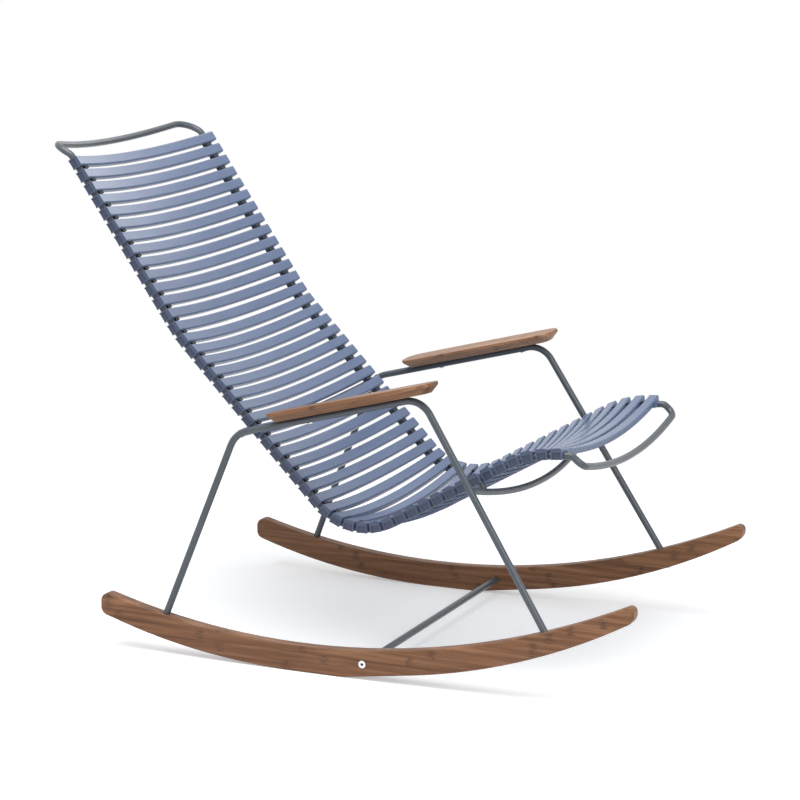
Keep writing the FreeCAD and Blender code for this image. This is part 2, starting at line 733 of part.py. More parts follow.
def armrest_outline(body, name, height, inset):
    """The armrest's outline at a height, drawn in by an inset on all sides."""
    sketch = new_sketch(body, "XY_Plane", name)
    sketch.AttachmentOffset = FreeCAD.Placement(Vector(0, 0, height.number), FreeCAD.Rotation())
    sketch.setExpression("AttachmentOffset.Base.z", height.formula)
    side_x = arm_width / 2 - arm_bulge - inset
    side_y = arm_length / 2 - arm_corner_run
    end_x = arm_end_width / 2 - inset * END_TAPER
    end_y = arm_length / 2 - inset
    side_radius = (side_y * side_y + arm_bulge * arm_bulge) / (arm_bulge * 2)
    corner_radius = arm_corner_radius - inset
    corners = [(side_x, -side_y), (side_x, side_y), (end_x, end_y), (-end_x, end_y),
               (-side_x, side_y), (-side_x, -side_y), (-end_x, -end_y), (end_x, -end_y)]
    draw_outline(sketch, corners, {0: (side_radius, 1), 1: (corner_radius, 1), 3: (corner_radius, 1),
                                   4: (side_radius, 1), 5: (corner_radius, 1), 7: (corner_radius, 1)})
    return sketch


def armrest(side, name):
    """A boat-shaped bamboo board with a bevelled underside, on top of the arm tube."""
    body = new_body(name)
    edge_low = arm_thickness - arm_edge
    underside = armrest_outline(body, name + "_underside", Size(0.0), arm_bevel)
    edge_outline = armrest_outline(body, name + "_edge_outline", edge_low, Size(0.0))
    bevel = body.newObject("PartDesign::AdditiveLoft", name + "_bevel")
    bevel.Profile = underside
    bevel.Sections = [edge_outline]
    bevel.Ruled = True
    doc.recompute()
    board_outline = armrest_outline(body, name + "_board_outline", edge_low, Size(0.0))
    board = body.newObject("PartDesign::Pad", name + "_board")
    board.Profile = board_outline
    bind(board, "Length", arm_edge)
    doc.recompute()
    top = edge_names(board.Shape, lambda edge, middle: abs(middle.z - arm_thickness.number) < NEAR)
    round_edges(body, board, top, arm_round, name + "_rim")
    doc.recompute()
    middle, onwards, upwards = arm_axes(side)
    home = FreeCAD.Placement(middle + upwards * (tube_radius + seat_gap.number),
                             FreeCAD.Rotation(onwards.cross(upwards) * -1, -onwards, upwards, "ZYX"))
    back_home = home.inverse()
    screw_reach = tube_diameter + seat_gap + screw_bite + screw_tip_gap
    for index, (seat, way) in enumerate(arm_screw_seats(side)):
        local = back_home.multVec(seat)
        bore(body, "%s_hole_%d" % (name, index), screw_hole, screw_reach, local, Vector(0, 0, 1))
    doc.recompute()
    body.Placement = home
    return body


# Cross bows

def bow_depth(half_span, sag, across):
    """How far a sagging bow lies beyond its ends at a distance from the middle plane."""
    radius = (half_span ** 2 + sag ** 2) / (2 * sag)
    return math.sqrt(radius ** 2 - across ** 2) - (radius - sag)


def bow_path(end, sag_towards, sag):
    """One arc from just short of the left leg's axis to the same place on the right."""
    reach = abs(end.x) - CLEAR
    short = Vector(-reach, end.y, end.z) + sag_towards * bow_depth(abs(end.x), sag, reach)
    other = Vector(reach, short.y, short.z)
    middle = Vector(0, end.y, end.z) + sag_towards * sag
    return [Part.Arc(short, middle, other).toShape()]


def leg_point(corner, foot, forward):
    """The place on a leg's axis at a forward reach."""
    share = (forward + foot.y) / (foot.y - corner.y)
    return foot + (corner - foot) * share


def seat_bow(outsides, rail_rods):
    """The bow under the seat, with the stub on it that carries each rail."""
    corners = leg_corners(-1)
    end = leg_point(corners[2], corners[3], seat_bow_forward.number)
    normal = sitter_side(rail_direction(SEAT))
    path = bow_path(end, -normal, seat_bow_sag.number)
    shape = rod(path, bow_radius)
    depth = bow_depth(abs(end.x), seat_bow_sag.number, rail_x.number)
    below_rail = (rail_place(SEAT) - end).dot(normal)
    stub_length = below_rail + depth - (box_depth - rail_depth + seat_gap).number
    for side in (-1, 1):
        start = Vector(side * rail_x.number, end.y, end.z) - normal * depth
        shape = shape.fuse(hole_pin(start, normal, stub_length, stub_diameter.number / 2))
    return shape.cut(Part.makeCompound([rod(path, bow_bore)] + outsides + rail_rods))


def back_bow(outsides):
    """The bow across the back of the rails."""
    normal = sitter_side(rail_direction(LOWER_BACK))
    onwards = rail_direction(LOWER_BACK)
    forward = back_bow_forward.number
    rail_start = rail_place(LOWER_BACK)
    share = (forward + rail_start.y) / -onwards.y
    on_rail = rail_start + onwards * share
    up = on_rail.z
    end = frame_place(-1, forward, up)
    behind = tube_radius + bow_radius + back_bow_gap.number - bow_depth(
        abs(end.x), back_bow_sag.number, rail_x.number)
    end = frame_place(-1, forward, up - behind / normal.z)
    path = bow_path(end, -normal, back_bow_sag.number)
    return rod(path, bow_radius).cut(Part.makeCompound([rod(path, bow_bore)] + outsides))


# Stretcher, bolts and screws

def stretcher():
    """The straight tube between the rockers, with solid threaded ends."""
    reach = frame_half_width - rocker_thickness / 2
    plug = bolt_length - rocker_thickness + stretcher_plug_spare
    rod_end = side_place(-reach.number, stretcher_forward.number, stretcher_up.number)
    turn = FreeCAD.Rotation(Vector(0, 0, 1), ACROSS)

    def round_bar(name, radius, length, start):
        bar = doc.addObject("Part::Cylinder", name)
        bind(bar, "Radius", radius)
        bind(bar, "Height", length)
        bar.Placement = FreeCAD.Placement(rod_end + ACROSS * start, turn)
        return bar

    whole = reach * 2
    outside = round_bar("stretcher_outside", tube_diameter / 2, whole, 0)
    middle_bore = round_bar("stretcher_bore", tube_diameter / 2 - tube_wall, whole - plug * 2, plug.number)
    thread = bolt_length - rocker_thickness + bolt_seat_depth + bolt_tip_gap
    left_thread = round_bar("left_thread", bolt_hole, thread, 0)
    right_thread = round_bar("right_thread", bolt_hole, thread, (whole - thread).number)
    result = outside
    for index, cutter in enumerate((middle_bore, left_thread, right_thread)):
        last = index == 2
        cut = doc.addObject("Part::Cut", "stretcher" if last else "stretcher_cut_%d" % index)
        cut.Base = result
        cut.Tool = cutter
        result = cut
    result.Label = "stretcher"
    return result


def fastener(name, shank, length, head, head_height, socket, depth):
    """A round-headed fastener that points along Z from the underside of its head."""
    stem = doc.addObject("Part::Cylinder", name + "_shank")
    bind(stem, "Radius", shank / 2)
    bind(stem, "Height", length)
    cap = doc.addObject("Part::Cylinder", name + "_head")
    bind(cap, "Radius", head / 2)
    bind(cap, "Height", head_height)
    cap.Placement.Base = Vector(0, 0, -head_height.number)
    body = doc.addObject("Part::Fuse", name + "_body")
    body.Base = cap
    body.Tool = stem
    hexagon = doc.addObject("Part::Prism", name + "_hexagon")
    hexagon.Polygon = 6
    bind(hexagon, "Circumradius", socket / math.sqrt(3))
    bind(hexagon, "Height", depth)
    hexagon.Placement.Base = Vector(0, 0, -head_height.number)
    whole = doc.addObject("Part::Cut", name + "_pattern")
    whole.Base = body
    whole.Tool = hexagon
    doc.recompute()
    return whole


def set_of(name, pattern, seats):
    """Copies of one fastener at its seats, kept as one sub-part."""
    copies = []
    for seat, way in seats:
        copy = pattern.Shape.copy()
        copy.Placement = FreeCAD.Placement(seat, FreeCAD.Rotation(Vector(0, 0, 1), way))
        copies.append(copy)
    return add_solid(name, Part.makeCompound(copies))


# The whole chair

SIDES = ((-1, "left"), (1, "right"))
parts = []
blanks = {}
for side, word in SIDES:
    wooden, blanks[side] = rocker(side, word + "_rocker")
    parts.append(wooden)
    parts.append(add_solid(word + "_leg_frame", leg_frame(side, blanks[side])))
    parts.append(armrest(side, word + "_armrest"))

parts.append(add_solid("shell_frame", shell_frame()))
leg_outsides = [leg_outside(side) for side, word in SIDES]
left_rail_rod = rod(forward_edges(half_shell_path()[1]), tube_radius)
rail_rods = [left_rail_rod, left_rail_rod.mirror(Vector(0, 0, 0), ACROSS)]
parts.append(add_solid("seat_cross_bow", seat_bow(leg_outsides, rail_rods)))
parts.append(add_solid("back_cross_bow", back_bow(leg_outsides)))
parts.append(stretcher())

bolt = fastener("bolt", bolt_diameter, bolt_length, bolt_head, bolt_head_height, socket_width, socket_depth)
bolt_seats = [seat for side, word in SIDES for seat in rocker_bolt_seats(side, blanks[side])]
parts.append(set_of("rocker_bolts", bolt, bolt_seats))
screw_length = tube_diameter + seat_gap + screw_bite
screw = fastener("screw", screw_diameter, screw_length, screw_head, screw_head_height,
                 screw_socket, screw_socket_depth)
screw_seats = [seat for side, word in SIDES for seat in arm_screw_seats(side)]
parts.append(set_of("armrest_screws", screw, screw_seats))

slat_pattern = slat_body()
for index, placement in enumerate(slat_placements()):
    name = "slat_%02d" % (index + 1)
    one = add_solid(name, slat_pattern.Shape.copy())
    one.Placement = placement
    parts.append(one)

doc.recompute()

# The origin is on the floor in the middle of the chair's footprint
boxes = [part.Shape.optimalBoundingBox() for part in parts]
front_reach = min(box.YMin for box in boxes)
rear_reach = max(box.YMax for box in boxes)
to_origin = Vector(0, -(front_reach + rear_reach) / 2, 0)
for part in parts:
    part.Placement.Base = part.Placement.Base + to_origin
doc.recompute()

for item in doc.Objects:
    if "Invalid" in item.State or "Error" in item.State:
        raise RuntimeError("%s failed: %s" % (item.Label, item.State))
for part in parts:
    if part.Shape.isNull() or not part.Shape.isValid():
        raise RuntimeError("%s has no valid shape" % part.Label)

os.makedirs("parts", exist_ok=True)
for part in parts:
    part.Shape.exportStep("parts/%s.step" % part.Label)
print("%d sub-parts written, footprint shifted by %.2f mm" % (len(parts), to_origin.y))
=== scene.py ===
import math

import bmesh
import bpy
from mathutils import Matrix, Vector


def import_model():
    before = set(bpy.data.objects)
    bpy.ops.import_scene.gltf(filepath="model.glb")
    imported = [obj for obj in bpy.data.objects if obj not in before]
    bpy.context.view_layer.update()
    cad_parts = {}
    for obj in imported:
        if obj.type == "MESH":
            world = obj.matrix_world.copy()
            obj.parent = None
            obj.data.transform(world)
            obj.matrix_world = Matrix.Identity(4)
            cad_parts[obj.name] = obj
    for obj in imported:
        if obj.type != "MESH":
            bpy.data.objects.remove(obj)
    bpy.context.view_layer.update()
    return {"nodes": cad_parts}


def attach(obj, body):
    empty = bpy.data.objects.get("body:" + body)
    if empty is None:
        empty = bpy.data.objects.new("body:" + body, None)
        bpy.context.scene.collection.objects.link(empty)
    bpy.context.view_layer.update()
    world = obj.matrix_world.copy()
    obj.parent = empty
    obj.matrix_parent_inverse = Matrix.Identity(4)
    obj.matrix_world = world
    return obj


# Rocking chaise lounge in metres: X across the chair, -Y forward, +Z up.

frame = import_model()
NODES = frame["nodes"]
scene = bpy.context.scene

# The armrests rise towards the front by this angle
ARM_SLOPE = math.radians(14.2)

# The slats' end panels lie this far from the middle plane, inside rims that stand 1.5 mm prouder
PANEL_X = 0.2385
PANEL_MARGIN = 0.0004
# A face belongs to a slat's end when the X part of its normal is more than this
END_FACING = 0.8

# The axis of the two bolts into the stretcher, and the radius of the painted shade in the sockets of their
# heads
BOLT_Y = -0.08427
BOLT_Z = 0.0265
SOCKET_SHADE_RADIUS = 0.0024
SOCKET_SHADE_COLOUR = (0.03, 0.03, 0.03)

# Slat plastic: the ends of its colour range, and one roughness, since a varying one left dark dots
SLAT_DARK = (0.0925, 0.1315, 0.232)
SLAT_LIGHT = (0.1575, 0.2065, 0.332)
# The slat ends are painted darker as shade, and their sunk panels darker still as painted shade in the
# recess
SLAT_END_SHADE = (0.068, 0.090, 0.155)
SLAT_PANEL_SHADE = (0.048, 0.062, 0.108)
SLAT_ROUGHNESS = 0.31
SLAT_SPECULAR = 0.42
SLAT_GRAIN = 1400.0
FLOW_SHARE = 0.6
PATCH_SHARE = 0.4

STEEL_DARK = (0.054, 0.066, 0.082)
STEEL_LIGHT = (0.070, 0.084, 0.102)
STEEL_PEEL = 520.0

# Bamboo: strips this wide, in layers this thick
STRIP_WIDTH = 0.0165
ROCKER_LAYER = 0.0055
ARM_LAYER = 0.008
ROCKER_TINT = (1.14, 1.08, 1.02)
LEFT_ARM_TINT = (1.13, 1.10, 1.04)
# The right armrest's paler, cooler tint is a painted sheen
RIGHT_ARM_SHEEN_TINT = (1.62, 1.74, 1.86)
BAMBOO_SPECULAR = 0.28
BAND_DARK = (0.112, 0.050, 0.025)
BAND_MIDDLE = (0.208, 0.102, 0.053)
BAND_LIGHT = (0.330, 0.178, 0.100)
STRIP_DARK = (0.84, 0.82, 0.80)
STRIP_LIGHT = (1.10, 1.10, 1.10)
# How far the strips' edges wander
STRIP_SWAY = 0.004
# The nodes along a strip, and how much each strip is shifted against the next
NODE_SPACING = 0.19
NODE_REACH = 0.012
NODE_SHIFT = 0.61
NODE_SHARE = 0.70
NODE_COLOUR = (0.045, 0.029, 0.021)
# Added before the remainder is taken, so that it is never negative
NODE_OFFSET = 5.0

# Near-black sleeves over the spacer tongues, painted shade between the slats
SLEEVE_SHADE_DARK = (0.022, 0.029, 0.036)
SLEEVE_SHADE_LIGHT = (0.040, 0.050, 0.060)

BRIGHT_DARK = (0.70, 0.70, 0.70)
BRIGHT_LIGHT = (0.82, 0.82, 0.82)


class Graph:
    """A material's nodes, added one by one and joined by name."""

    def __init__(self, name):
        self.material = bpy.data.materials.new(name)
        self.material.use_nodes = True
        self.nodes = self.material.node_tree.nodes
        self.links = self.material.node_tree.links
        self.nodes.clear()
        self.output = self.nodes.new("ShaderNodeOutputMaterial")

    def add(self, kind, inputs=None, **settings):
        node = self.nodes.new("ShaderNode" + kind)
        for key, value in settings.items():
            setattr(node, key, value)
        for key, value in (inputs or {}).items():
            self.set(node.inputs[key], value)
        return node

    def set(self, socket, value):
        if isinstance(value, bpy.types.NodeSocket):
            self.links.new(value, socket)
        else:
            socket.default_value = value

    def math(self, operation, first, second=0.0):
        return self.add("Math", {0: first, 1: second}, operation=operation).outputs[0]

    def point(self, x, y, z=0.0):
        return self.add("CombineXYZ", {"X": x, "Y": y, "Z": z}).outputs[0]

    def noise(self, vector, scale, detail, roughness=0.5, distortion=0.0):
        node = self.add("TexNoise", {"Vector": vector, "Scale": scale, "Detail": detail,
                                     "Roughness": roughness, "Distortion": distortion})
        return node.outputs["Fac"]

    def ramp(self, factor, stops):
        node = self.add("ValToRGB", {"Fac": factor})
        elements = node.color_ramp.elements
        while len(elements) < len(stops):
            elements.new(0.5)
        for element, (place, colour) in zip(elements, stops):
            element.position = place
            element.color = (*colour, 1.0)
        return node.outputs["Color"]

    def grey_ramp(self, factor, stops):
        return self.ramp(factor, [(place, (value, value, value)) for place, value in stops])

    def mix(self, factor, first, second, blend="MIX"):
        node = self.add("Mix", data_type="RGBA", blend_type=blend)
        for index, value in ((0, factor), (6, first), (7, second)):
            if isinstance(value, tuple):
                value = (*value, 1.0)
            self.set(node.inputs[index], value)
        return node.outputs[2]

    def bump(self, height, strength, distance):
        node = self.add("Bump", {"Height": height, "Strength": strength, "Distance": distance})
        return node.outputs["Normal"]

    def shade(self, inputs):
        shader = self.add("BsdfPrincipled", inputs)
        self.links.new(shader.outputs[0], self.output.inputs["Surface"])
        return self.material


def place(graph):
    """The point being shaded, in the row frame."""
    return graph.add("TexCoord").outputs["Object"]


def end_face(graph, point):
    """Two masks on the end of a slat, where painted shade goes: the whole end with its rim, and the sunk
    panel inside the rim.
    """
    across = graph.math("ABSOLUTE", graph.add("SeparateXYZ", {"Vector": point}).outputs["X"])
    normal = graph.add("NewGeometry").outputs["True Normal"]
    facing = graph.math("ABSOLUTE", graph.add("SeparateXYZ", {"Vector": normal}).outputs["X"])
    outside = graph.math("GREATER_THAN", across, PANEL_X - PANEL_MARGIN)
    square_on = graph.math("GREATER_THAN", facing, END_FACING)
    whole = graph.math("MULTIPLY", outside, square_on)
    inside = graph.math("LESS_THAN", across, PANEL_X + PANEL_MARGIN)
    return whole, graph.math("MULTIPLY", whole, inside)


def slat_plastic():
    """Moulded plastic, satin, with a fine spark-eroded grain and faint flow marks along the slat, and
    painted shade on its ends.
    """
    graph = Graph("slat_plastic")
    point = place(graph)
    along = graph.add("Mapping", {"Vector": point, "Scale": (6.0, 30.0, 30.0)}).outputs[0]
    flow = graph.noise(along, 3.0, 3.0)
    patch = graph.noise(point, 9.0, 2.0)
    tone = graph.math("ADD", graph.math("MULTIPLY", flow, FLOW_SHARE),
                      graph.math("MULTIPLY", patch, PATCH_SHARE))
    colour = graph.ramp(tone, [(0.0, SLAT_DARK), (1.0, SLAT_LIGHT)])
    whole, panel = end_face(graph, point)
    # Painted shade: the slat ends darker, their sunk panels darker still
    colour = graph.mix(whole, colour, SLAT_END_SHADE)
    colour = graph.mix(panel, colour, SLAT_PANEL_SHADE)
    grain = graph.noise(point, SLAT_GRAIN, 2.0)
    normal = graph.bump(grain, 0.02, 0.0001)
    return graph.shade({"Base Color": colour, "Roughness": SLAT_ROUGHNESS, "Normal": normal,
                        "Specular IOR Level": SLAT_SPECULAR})


def coated_steel():
    """Dark powder coat with a slight orange peel."""
    graph = Graph("coated_steel")
    point = place(graph)
    patch = graph.noise(point, 25.0, 3.0)
    colour = graph.ramp(patch, [(0.3, STEEL_DARK), (0.7, STEEL_LIGHT)])
    peel = graph.noise(point, STEEL_PEEL, 2.0)
    roughness = graph.grey_ramp(patch, [(0.3, 0.28), (0.7, 0.38)])
    normal = graph.bump(peel, 0.03, 0.0002)
    return graph.shade({"Base Color": colour, "Roughness": roughness, "Normal": normal,
                        "Coat Weight": 0.15, "Coat Roughness": 0.25})


def bamboo(name, along, across, side, strip_width, layer, tint):
    """Laminated bamboo: strips glued side by side, with dark nodes and fine grain along them."""
    graph = Graph(name)
    point = graph.add("SeparateXYZ", {"Vector": place(graph)})
    along = along(graph, point)
    across = across(graph, point)
    side = side(graph, point)
    wander_place = graph.point(graph.math("MULTIPLY", along, 2.0), graph.math("MULTIPLY", across, 9.0))
    wander = graph.noise(wander_place, 1.0, 1.0)
    sway = graph.math("MULTIPLY", graph.math("SUBTRACT", wander, 0.5), STRIP_SWAY)
    across = graph.math("ADD", across, sway)
    row = graph.math("FLOOR", graph.math("DIVIDE", across, strip_width))
    column = graph.math("FLOOR", graph.math("DIVIDE", side, layer))
    strip = graph.add("TexWhiteNoise", {"Vector": graph.point(row, column)}, noise_dimensions="2D")
    tone = strip.outputs["Value"]

    grain_place = graph.point(graph.math("MULTIPLY", along, 14.0),
                              graph.math("MULTIPLY", across, 900.0),
                              graph.math("MULTIPLY", side, 500.0))
    grain = graph.noise(grain_place, 1.0, 5.0, 0.6)
    streak_place = graph.point(graph.math("MULTIPLY", along, 5.0),
                               graph.math("MULTIPLY", across, 130.0),
                               graph.math("MULTIPLY", side, 60.0))
    streak = graph.noise(streak_place, 1.0, 4.0, 0.55, 0.4)

    shifted = graph.math("ADD", along, graph.math("MULTIPLY", tone, NODE_SHIFT))
    phase = graph.math("MODULO", graph.math("ADD", shifted, NODE_OFFSET), NODE_SPACING)
    off_node = graph.math("ABSOLUTE", graph.math("SUBTRACT", phase, NODE_SPACING / 2))
    knot = graph.add("MapRange", {"Value": off_node, "From Min": 0.0, "From Max": NODE_REACH,
                                  "To Min": 1.0, "To Max": 0.0}, interpolation_type="SMOOTHSTEP").outputs[0]
    break_place = graph.point(graph.math("MULTIPLY", along, 90.0), graph.math("MULTIPLY", across, 260.0))
    breaks = graph.noise(break_place, 1.0, 3.0)
    knot = graph.math("MULTIPLY", knot, graph.add("MapRange", {
        "Value": breaks, "From Min": 0.35, "From Max": 0.65}).outputs[0])

    base = graph.ramp(streak, [(0.25, BAND_DARK), (0.5, BAND_MIDDLE), (0.75, BAND_LIGHT)])
    base = graph.mix(1.0, base, tint, "MULTIPLY")
    by_strip = graph.ramp(tone, [(0.0, STRIP_DARK), (1.0, STRIP_LIGHT)])
    colour = graph.mix(1.0, base, by_strip, "MULTIPLY")
    fibres = graph.grey_ramp(grain, [(0.3, 0.74), (0.6, 1.04)])
    colour = graph.mix(1.0, colour, fibres, "MULTIPLY")
    colour = graph.mix(graph.math("MULTIPLY", knot, NODE_SHARE), colour, NODE_COLOUR)
    roughness = graph.grey_ramp(grain, [(0.3, 0.50), (0.7, 0.38)])
    normal = graph.bump(grain, 0.15, 0.0005)
    return graph.shade({"Base Color": colour, "Roughness": roughness, "Normal": normal,
                        "Specular IOR Level": BAMBOO_SPECULAR})


def rocker_wood():
    """The rockers are sawn from a straight board, so the grain doesn't follow their curve."""
    return bamboo("rocker_bamboo",
                  lambda graph, point: point.outputs["Y"],
                  lambda graph, point: point.outputs["Z"],
                  lambda graph, point: point.outputs["X"],
                  STRIP_WIDTH, ROCKER_LAYER, ROCKER_TINT)


def arm_wood(name, tint):
    """One armrest's board; the right one gets a paler, cooler tint as a painted sheen."""
    def along(graph, point):
        forward = graph.math("MULTIPLY", point.outputs["Y"], -math.cos(ARM_SLOPE))
        return graph.math("ADD", forward, graph.math("MULTIPLY", point.outputs["Z"], math.sin(ARM_SLOPE)))

    def depth(graph, point):
        low = graph.math("MULTIPLY", point.outputs["Y"], math.sin(ARM_SLOPE))
        return graph.math("ADD", low, graph.math("MULTIPLY", point.outputs["Z"], math.cos(ARM_SLOPE)))

    return bamboo(name, along, lambda graph, point: point.outputs["X"], depth,
                  STRIP_WIDTH, ARM_LAYER, tint)


def painted_shade_sleeve():
    """Near-black sleeves between the slats, standing in as painted shade over the slats' spacer tongues;
    matt, with a faint dusty mottle.
    """
    graph = Graph("spacer_shade")
    point = place(graph)
    dust = graph.noise(point, 180.0, 3.0)
    colour = graph.ramp(dust, [(0.35, SLEEVE_SHADE_DARK), (0.7, SLEEVE_SHADE_LIGHT)])
    roughness = graph.grey_ramp(dust, [(0.3, 0.55), (0.7, 0.75)])
    normal = graph.bump(dust, 0.1, 0.0003)
    return graph.shade({"Base Color": colour, "Roughness": roughness, "Normal": normal})


def bright_steel():
    """Stainless fasteners, lightly brushed, with painted shade in the bolt heads' sockets."""
    graph = Graph("fasteners")
    point = place(graph)
    brushed = graph.add("Mapping", {"Vector": point, "Scale": (300.0, 2400.0, 300.0)}).outputs[0]
    scratch = graph.noise(brushed, 1.0, 2.0)
    colour = graph.ramp(scratch, [(0.3, BRIGHT_DARK), (0.7, BRIGHT_LIGHT)])
    parts = graph.add("SeparateXYZ", {"Vector": point})
    off_axis = graph.point(graph.math("SUBTRACT", parts.outputs["Y"], BOLT_Y),
                           graph.math("SUBTRACT", parts.outputs["Z"], BOLT_Z))
    reach = graph.add("VectorMath", {0: off_axis}, operation="LENGTH").outputs["Value"]
    # Painted shade: a dark disc in each bolt head's socket
    colour = graph.mix(graph.math("LESS_THAN", reach, SOCKET_SHADE_RADIUS), colour, SOCKET_SHADE_COLOUR)
    roughness = graph.grey_ramp(scratch, [(0.3, 0.22), (0.7, 0.34)])
    return graph.shade({"Base Color": colour, "Roughness": roughness, "Metallic": 1.0})


def dress(names, material):
    for name in names:
        slots = NODES[name].data.materials
        slots.clear()
        slots.append(material)


steel = coated_steel()
slats = [name for name in NODES if name.startswith("slat_")]
dress(slats, slat_plastic())
woods = [name for name in NODES if "rocker" in name and "bolts" not in name]
dress(woods, rocker_wood())
arms = ["left_armrest", "right_armrest"]
dress(["left_armrest"], arm_wood("left_arm_bamboo", LEFT_ARM_TINT))
# The right armrest is tinted paler as a painted sheen
dress(["right_armrest"], arm_wood("right_arm_bamboo_sheen", RIGHT_ARM_SHEEN_TINT))
fasteners = [name for name in NODES if name.endswith("bolts") or name.endswith("screws")]
dress(fasteners, bright_steel())
tubes = [name for name in NODES if name not in slats + woods + arms + fasteners]
dress(tubes, steel)


# Pieces that the CAD model leaves to this script

# The spacer tongues lie between these distances from the middle plane, and face the next slat
SPACER_INNER_X = 0.2155
SPACER_OUTER_X = 0.2200
SPACER_FACING = 0.9
# The dark sleeves painted over the tongues as shade: skin, length, inward reach and rounding
SLEEVE_SKIN = 0.0003
SLEEVE_LENGTH = 0.0044
SLEEVE_INWARD = 0.005
SLEEVE_ROUND = 0.0006


def add_piece(name, build, material):
    """One mesh piece that rides with the chair."""
    shape = bmesh.new()
    build(shape)
    mesh = bpy.data.meshes.new(name)
    shape.to_mesh(mesh)
    shape.free()
    mesh.materials.append(material)
    for polygon in mesh.polygons:
        polygon.use_smooth = True
    piece = bpy.data.objects.new(name, mesh)
    scene.collection.objects.link(piece)
    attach(piece, "root")


def tongue_tips(name, side, onwards):
    """Corners and outward direction of the end of a slat's spacer tongue on one side."""
    mesh = NODES[name].data
    best = []
    for polygon in mesh.polygons:
        corners = [mesh.vertices[index].co for index in polygon.vertices]
        across = [corner.x * side for corner in corners]
        if min(across) < SPACER_INNER_X or max(across) > SPACER_OUTER_X:
            continue
        if polygon.normal.dot(onwards) < SPACER_FACING:
            continue
        best.append((polygon.center.dot(onwards), polygon.normal.copy(), corners))
    reach = max(entry[0] for entry in best)
    tip = [entry for entry in best if entry[0] > reach - SLEEVE_SKIN]
    unique = []
    for entry in tip:
        for corner in entry[2]:
            if all((corner - other).length > SLEEVE_SKIN for other in unique):
                unique.append(corner.copy())
    return unique, tip[0][1]


def slat_middle(name):
    corners = [vertex.co for vertex in NODES[name].data.vertices]
    return sum(corners, Vector()) / len(corners)


def spacer_shade_sleeves(shape):
    """A rounded dark sleeve over each spacer tongue, as painted shade between the slats."""
    ordered = sorted(slats)
    for index, name in enumerate(ordered[:-1]):
        onwards = (slat_middle(ordered[index + 1]) - slat_middle(name)).normalized()
        for side in (-1, 1):
            corners, outward = tongue_tips(name, side, onwards)
            middle = sum(corners, Vector()) / len(corners)
            upward = outward.cross(Vector((1, 0, 0))).normalized()
            half_wide = max(abs((corner - middle).x) for corner in corners) + SLEEVE_SKIN + SLEEVE_INWARD / 2
            half_high = max(abs((corner - middle).dot(upward)) for corner in corners) + SLEEVE_SKIN
            half_long = (SLEEVE_LENGTH + SLEEVE_SKIN) / 2
            centre = middle + outward * (SLEEVE_SKIN - half_long) - Vector((side * SLEEVE_INWARD / 2, 0, 0))
            made = bmesh.ops.create_cube(shape, size=2.0)["verts"]
            for vertex in made:
                local = vertex.co.copy()
                vertex.co = (centre + Vector((local.x * half_wide, 0, 0)) + outward * (local.y * half_long)
                             + upward * (local.z * half_high))
            edges = {edge for vertex in made for edge in vertex.link_edges}
            bmesh.ops.bevel(shape, geom=list(edges), offset=SLEEVE_ROUND, segments=2, affect="EDGES")
    bmesh.ops.recalc_face_normals(shape, faces=shape.faces)


BEAD_RADIUS = 0.0012
BEAD_STEPS = 40
BEAD_SIDES = 8
BEAD_RIPPLES = 11
BEAD_RIPPLE_SHARE = 0.14


def bead(shape, centre, axis, radius):
    """A rippled ring of weld around a tube's end."""
    across = axis.orthogonal().normalized()
    other = axis.cross(across).normalized()
    rings = []
    for step in range(BEAD_STEPS):
        turn = 2 * math.pi * step / BEAD_STEPS
        outward = across * math.cos(turn) + other * math.sin(turn)
        thick = BEAD_RADIUS * (1 + BEAD_RIPPLE_SHARE * math.sin(turn * BEAD_RIPPLES))
        ring = []
        for corner in range(BEAD_SIDES):
            bend = 2 * math.pi * corner / BEAD_SIDES
            offset = outward * (radius + thick * math.cos(bend)) + axis * (thick * math.sin(bend))
            ring.append(shape.verts.new(centre + offset))
        rings.append(ring)
    for step, ring in enumerate(rings):
        following = rings[(step + 1) % BEAD_STEPS]
        for corner in range(BEAD_SIDES):
            after = (corner + 1) % BEAD_SIDES
            shape.faces.new((ring[corner], ring[after], following[after], following[corner]))


BOW_RADIUS = 0.0055
BOW_END = 0.006


def weld_beads(shape):
    """Beads where the two cross bows meet the legs."""
    for name in ("seat_cross_bow", "back_cross_bow"):
        corners = [vertex.co for vertex in NODES[name].data.vertices]
        reach = max(corner.x for corner in corners)
        for side in (-1, 1):
            end = [corner for corner in corners if corner.x * side > reach - BOW_END]
            centre = sum(end, Vector()) / len(end)
            lowest = min(corner.z for corner in end)
            highest = max(corner.z for corner in end)
            centre = Vector((centre.x, centre.y, (lowest + highest) / 2))
            bead(shape, centre, Vector((side, 0, 0)), BOW_RADIUS)
    bmesh.ops.recalc_face_normals(shape, faces=shape.faces)


# The dark sleeves are painted shade between the slats
add_piece("spacer_shade_sleeves", spacer_shade_sleeves, painted_shade_sleeve())
add_piece("weld_beads", weld_beads, steel)


# Camera at the photograph's viewing angle, fitted to it

SENSOR_WIDTH = 36
LENS = 118.93
CAMERA_PLACE = (-4.018885, -1.795606, 1.262693)
CAMERA_DOWN = 11.091
CAMERA_ROLL = -0.025
CAMERA_TURN = -66.135

camera_data = bpy.data.cameras.new("camera")
camera_data.sensor_width = SENSOR_WIDTH
camera_data.lens = LENS
camera = bpy.data.objects.new("camera", camera_data)
camera.location = CAMERA_PLACE
camera.rotation_euler = (math.radians(90 - CAMERA_DOWN), math.radians(CAMERA_ROLL),
                         math.radians(CAMERA_TURN))
scene.collection.objects.link(camera)
scene.camera = camera


# Plain pale floor, soft light

# The floor takes the chair's shadow this far out, and is plain white from the second reach on
FLOOR_SHADOW_REACH = 0.9
FLOOR_WHITE_REACH = 1.9
FLOOR_REACH = 14.0
FLOOR_COLOUR = (0.86, 0.86, 0.86, 1.0)
FLOOR_GLOW = 0.36
WHITE = (1.0, 1.0, 1.0, 1.0)
SKY_COLOUR = (0.94, 0.97, 1.0, 1.0)
SKY_STRENGTH = 0.52


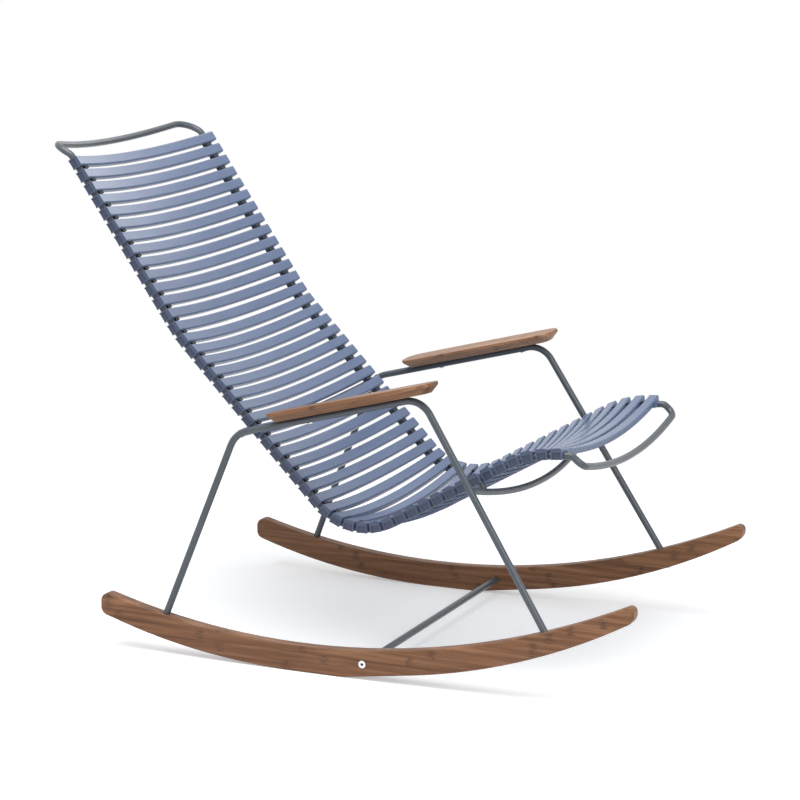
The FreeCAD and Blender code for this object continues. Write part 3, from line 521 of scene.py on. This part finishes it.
def floor():
    mesh = bpy.data.meshes.new("floor")
    corners = [(-FLOOR_REACH, -FLOOR_REACH, 0), (FLOOR_REACH, -FLOOR_REACH, 0),
               (FLOOR_REACH, FLOOR_REACH, 0), (-FLOOR_REACH, FLOOR_REACH, 0)]
    mesh.from_pydata(corners, [], [(0, 1, 2, 3)])
    obj = bpy.data.objects.new("floor", mesh)
    scene.collection.objects.link(obj)
    graph = Graph("floor")
    diffuse = graph.add("BsdfDiffuse", {"Color": FLOOR_COLOUR})
    glow = graph.add("Emission", {"Color": WHITE, "Strength": FLOOR_GLOW})
    backdrop = graph.add("Emission", {"Color": WHITE, "Strength": 1.0})
    near = graph.add("AddShader", {0: diffuse.outputs[0], 1: glow.outputs[0]})
    distance = graph.add("VectorMath", {0: place(graph)}, operation="LENGTH").outputs["Value"]
    far = graph.add("MapRange", {"Value": distance, "From Min": FLOOR_SHADOW_REACH,
                                 "From Max": FLOOR_WHITE_REACH}, interpolation_type="SMOOTHSTEP").outputs[0]
    seen_floor = graph.add("MixShader", {0: far, 1: near.outputs[0], 2: backdrop.outputs[0]})
    path = graph.add("LightPath")
    seen = graph.math("MAXIMUM", path.outputs["Is Camera Ray"], path.outputs["Is Glossy Ray"])
    surface = graph.add("MixShader", {0: seen, 1: diffuse.outputs[0], 2: seen_floor.outputs[0]})
    graph.links.new(surface.outputs[0], graph.output.inputs["Surface"])
    mesh.materials.append(graph.material)


def world():
    studio = bpy.data.worlds.new("studio")
    scene.world = studio
    studio.use_nodes = True
    nodes = studio.node_tree.nodes
    links = studio.node_tree.links
    nodes.clear()
    output = nodes.new("ShaderNodeOutputWorld")
    soft = nodes.new("ShaderNodeBackground")
    soft.inputs["Color"].default_value = SKY_COLOUR
    soft.inputs["Strength"].default_value = SKY_STRENGTH
    white = nodes.new("ShaderNodeBackground")
    white.inputs["Color"].default_value = WHITE
    white.inputs["Strength"].default_value = 1.0
    path = nodes.new("ShaderNodeLightPath")
    mix = nodes.new("ShaderNodeMixShader")
    seen = nodes.new("ShaderNodeMath")
    seen.operation = "MAXIMUM"
    links.new(path.outputs["Is Camera Ray"], seen.inputs[0])
    links.new(path.outputs["Is Glossy Ray"], seen.inputs[1])
    links.new(seen.outputs[0], mix.inputs[0])
    links.new(soft.outputs[0], mix.inputs[1])
    links.new(white.outputs[0], mix.inputs[2])
    links.new(mix.outputs[0], output.inputs["Surface"])


def lamp(name, location, target, size, power):
    data = bpy.data.lights.new(name, "AREA")
    data.shape = "RECTANGLE"
    data.size = size[0]
    data.size_y = size[1]
    data.energy = power
    obj = bpy.data.objects.new(name, data)
    obj.location = location
    obj.rotation_euler = (Vector(target) - Vector(location)).to_track_quat("-Z", "Y").to_euler()
    scene.collection.objects.link(obj)
    return obj


floor()
world()
lamp("key", location=(-1.0, 0.4, 3.2), target=(0.0, 0.0, 0.4), size=(2.2, 2.2), power=84)
lamp("front", location=(-1.8, -2.8, 1.7), target=(0.0, 0.0, 0.35), size=(1.8, 1.4), power=30)
# A lamp seen only in reflections, for the soft sheen on the near ends of the top slats
sheen = lamp("sheen", location=(0.83, 0.40, 1.13), target=(-0.2, 0.45, 0.8), size=(0.45, 0.45), power=1.0)
sheen.visible_diffuse = False
sheen.visible_camera = False
scene.view_settings.view_transform = "Standard"
